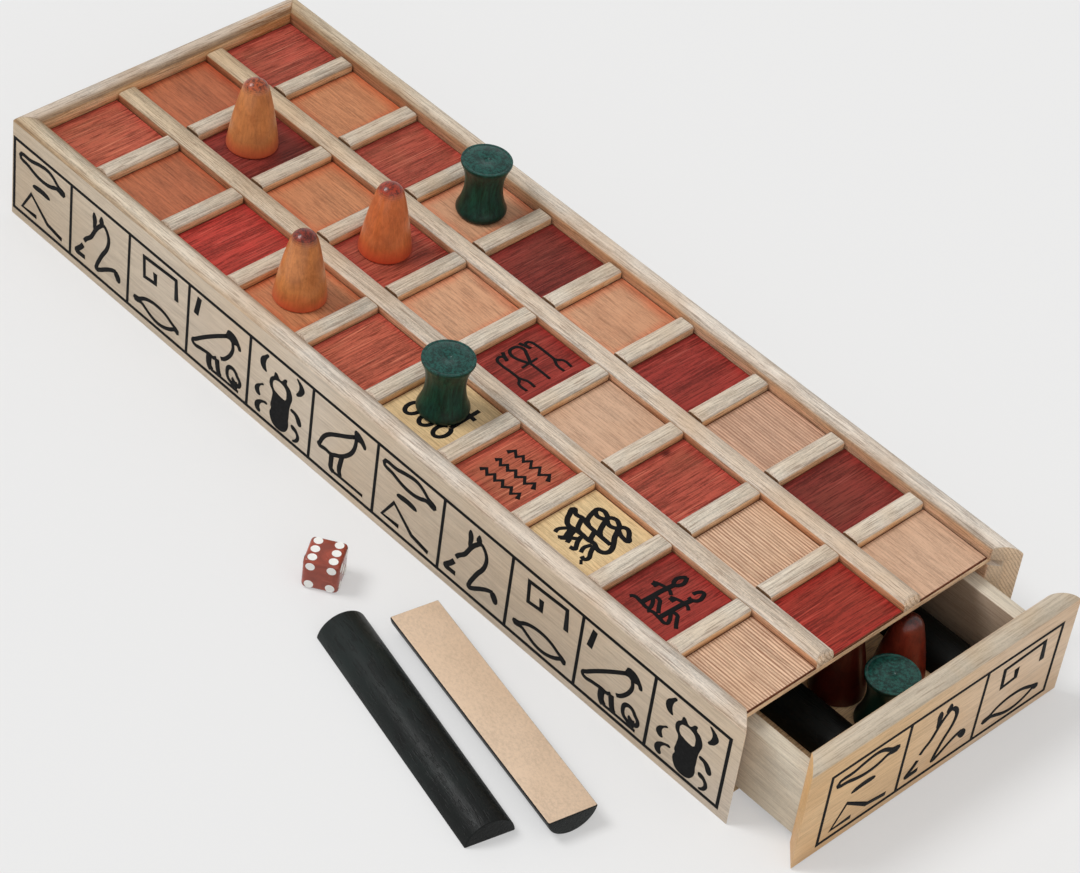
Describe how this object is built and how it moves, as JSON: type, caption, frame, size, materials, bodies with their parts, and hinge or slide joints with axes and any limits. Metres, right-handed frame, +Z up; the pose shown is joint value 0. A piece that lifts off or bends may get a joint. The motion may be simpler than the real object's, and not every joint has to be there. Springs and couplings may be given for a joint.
{
  "type": "senet board",
  "caption": "Long senet board made as a wooden case: three rows of recessed squares on top, a drawer in one end, and its cone and spool pawns, throw sticks and die.",
  "frame": {"origin": "centre of the case's underside, on the table", "axes": "+X along the case towards the drawer's front, +Y across the rows from the near side to the far side, +Z up"},
  "size_m": [0.405, 0.208, 0.0689],
  "materials": {
    "pale_wood": "satin oil over open-grained pale hardwood",
    "inner_wood": "plain pale board",
    "red_stain": "red-stained veneer, satin",
    "pale_stain": "orange-stained veneer, satin",
    "straw_stain": "straw-coloured veneer with black marks",
    "front_wood": "honey-coloured hardwood, satin",
    "drawer_wood": "plain wood, darkened inside",
    "cone_wood": "turned wood, orange-brown stain, satin lacquer",
    "spool_wood": "turned wood, green-black stain, satin lacquer",
    "stick_wood": "half-round wood, black-green on the round side and bare on the flat side",
    "die_wood": "brown-red wood with white pips, satin"
  },
  "bodies": {
    "case": {"near_side_rail": "pale_wood", "far_side_rail": "pale_wood", "end_rail": "pale_wood", "base_panel": "inner_wood", "playing_panel": "inner_wood", "near_long_divider": "pale_wood", "far_long_divider": "pale_wood", "near_row_strips": "pale_wood", "middle_row_strips": "pale_wood", "far_row_strips": "pale_wood", "near_row_red_squares": "red_stain", "near_row_pale_squares": "pale_stain", "middle_row_red_squares": "red_stain", "middle_row_pale_squares": "pale_stain", "far_row_red_squares": "red_stain", "far_row_pale_squares": "pale_stain", "beauty_square": "straw_stain", "water_square": "red_stain", "truths_square": "straw_stain", "figures_square": "red_stain", "rebirth_square": "red_stain"},
    "drawer": {"drawer_front": "front_wood", "drawer_near_side": "drawer_wood", "drawer_far_side": "drawer_wood", "drawer_back": "drawer_wood", "drawer_floor": "drawer_wood"},
    "die_body": {"die": "die_wood"},
    "cone_pawn_1_body": {"cone_pawn_1": "cone_wood"},
    "spool_pawn_1_body": {"spool_pawn_1": "spool_wood"},
    "cone_pawn_2_body": {"cone_pawn_2": "cone_wood"},
    "spool_pawn_2_body": {"spool_pawn_2": "spool_wood"},
    "cone_pawn_3_body": {"cone_pawn_3": "cone_wood"},
    "spool_pawn_3_body": {"spool_pawn_3": "spool_wood"},
    "cone_pawn_4_body": {"cone_pawn_4": "cone_wood"},
    "spool_pawn_4_body": {"spool_pawn_4": "spool_wood"},
    "cone_pawn_5_body": {"cone_pawn_5": "cone_wood"},
    "spool_pawn_5_body": {"spool_pawn_5": "spool_wood"},
    "throw_stick_1_body": {"throw_stick_1": "stick_wood"},
    "throw_stick_2_body": {"throw_stick_2": "stick_wood"},
    "throw_stick_3_body": {"throw_stick_3": "stick_wood"},
    "throw_stick_4_body": {"throw_stick_4": "stick_wood"}
  },
  "joints": [
    {"name": "drawer_slide", "type": "slide", "parent": "case", "child": "drawer", "axis": [1, 0, 0], "range_m": [-0.026, 0.21]},
    {"name": "cone_pawn_1_lift", "type": "slide", "parent": "case", "child": "cone_pawn_1_body", "axis": [0, 0, 1], "range_m": [0, 0.06]},
    {"name": "cone_pawn_2_lift", "type": "slide", "parent": "case", "child": "cone_pawn_2_body", "axis": [0, 0, 1], "range_m": [0, 0.06]},
    {"name": "cone_pawn_3_lift", "type": "slide", "parent": "case", "child": "cone_pawn_3_body", "axis": [0, 0, 1], "range_m": [0, 0.06]},
    {"name": "cone_pawn_4_lift", "type": "slide", "parent": "drawer", "child": "cone_pawn_4_body", "axis": [0, 0, 1], "range_m": [0, 0.0012]},
    {"name": "cone_pawn_5_lift", "type": "slide", "parent": "drawer", "child": "cone_pawn_5_body", "axis": [0, 0, 1], "range_m": [0, 0.0012]},
    {"name": "spool_pawn_1_lift", "type": "slide", "parent": "case", "child": "spool_pawn_1_body", "axis": [0, 0, 1], "range_m": [0, 0.06]},
    {"name": "spool_pawn_2_lift", "type": "slide", "parent": "case", "child": "spool_pawn_2_body", "axis": [0, 0, 1], "range_m": [0, 0.06]},
    {"name": "spool_pawn_3_lift", "type": "slide", "parent": "drawer", "child": "spool_pawn_3_body", "axis": [0, 0, 1], "range_m": [0, 0.06]},
    {"name": "spool_pawn_4_lift", "type": "slide", "parent": "drawer", "child": "spool_pawn_4_body", "axis": [0, 0, 1], "range_m": [0, 0.0069]},
    {"name": "spool_pawn_5_lift", "type": "slide", "parent": "drawer", "child": "spool_pawn_5_body", "axis": [0, 0, 1], "range_m": [0, 0.0069]},
    {"name": "throw_stick_1_lift", "type": "slide", "parent": "drawer", "child": "throw_stick_1_body", "axis": [0, 0, 1], "range_m": [0, 0.02]},
    {"name": "throw_stick_2_lift", "type": "slide", "parent": "drawer", "child": "throw_stick_2_body", "axis": [0, 0, 1], "range_m": [0, 0.02]},
    {"name": "throw_stick_3_lift", "type": "slide", "parent": "case", "child": "throw_stick_3_body", "axis": [0, 0, 1], "range_m": [0, 0.06]},
    {"name": "throw_stick_4_lift", "type": "slide", "parent": "case", "child": "throw_stick_4_body", "axis": [0, 0, 1], "range_m": [0, 0.06]},
    {"name": "die_lift", "type": "slide", "parent": "case", "child": "die_body", "axis": [0, 0, 1], "range_m": [0, 0.06]}
  ]
}
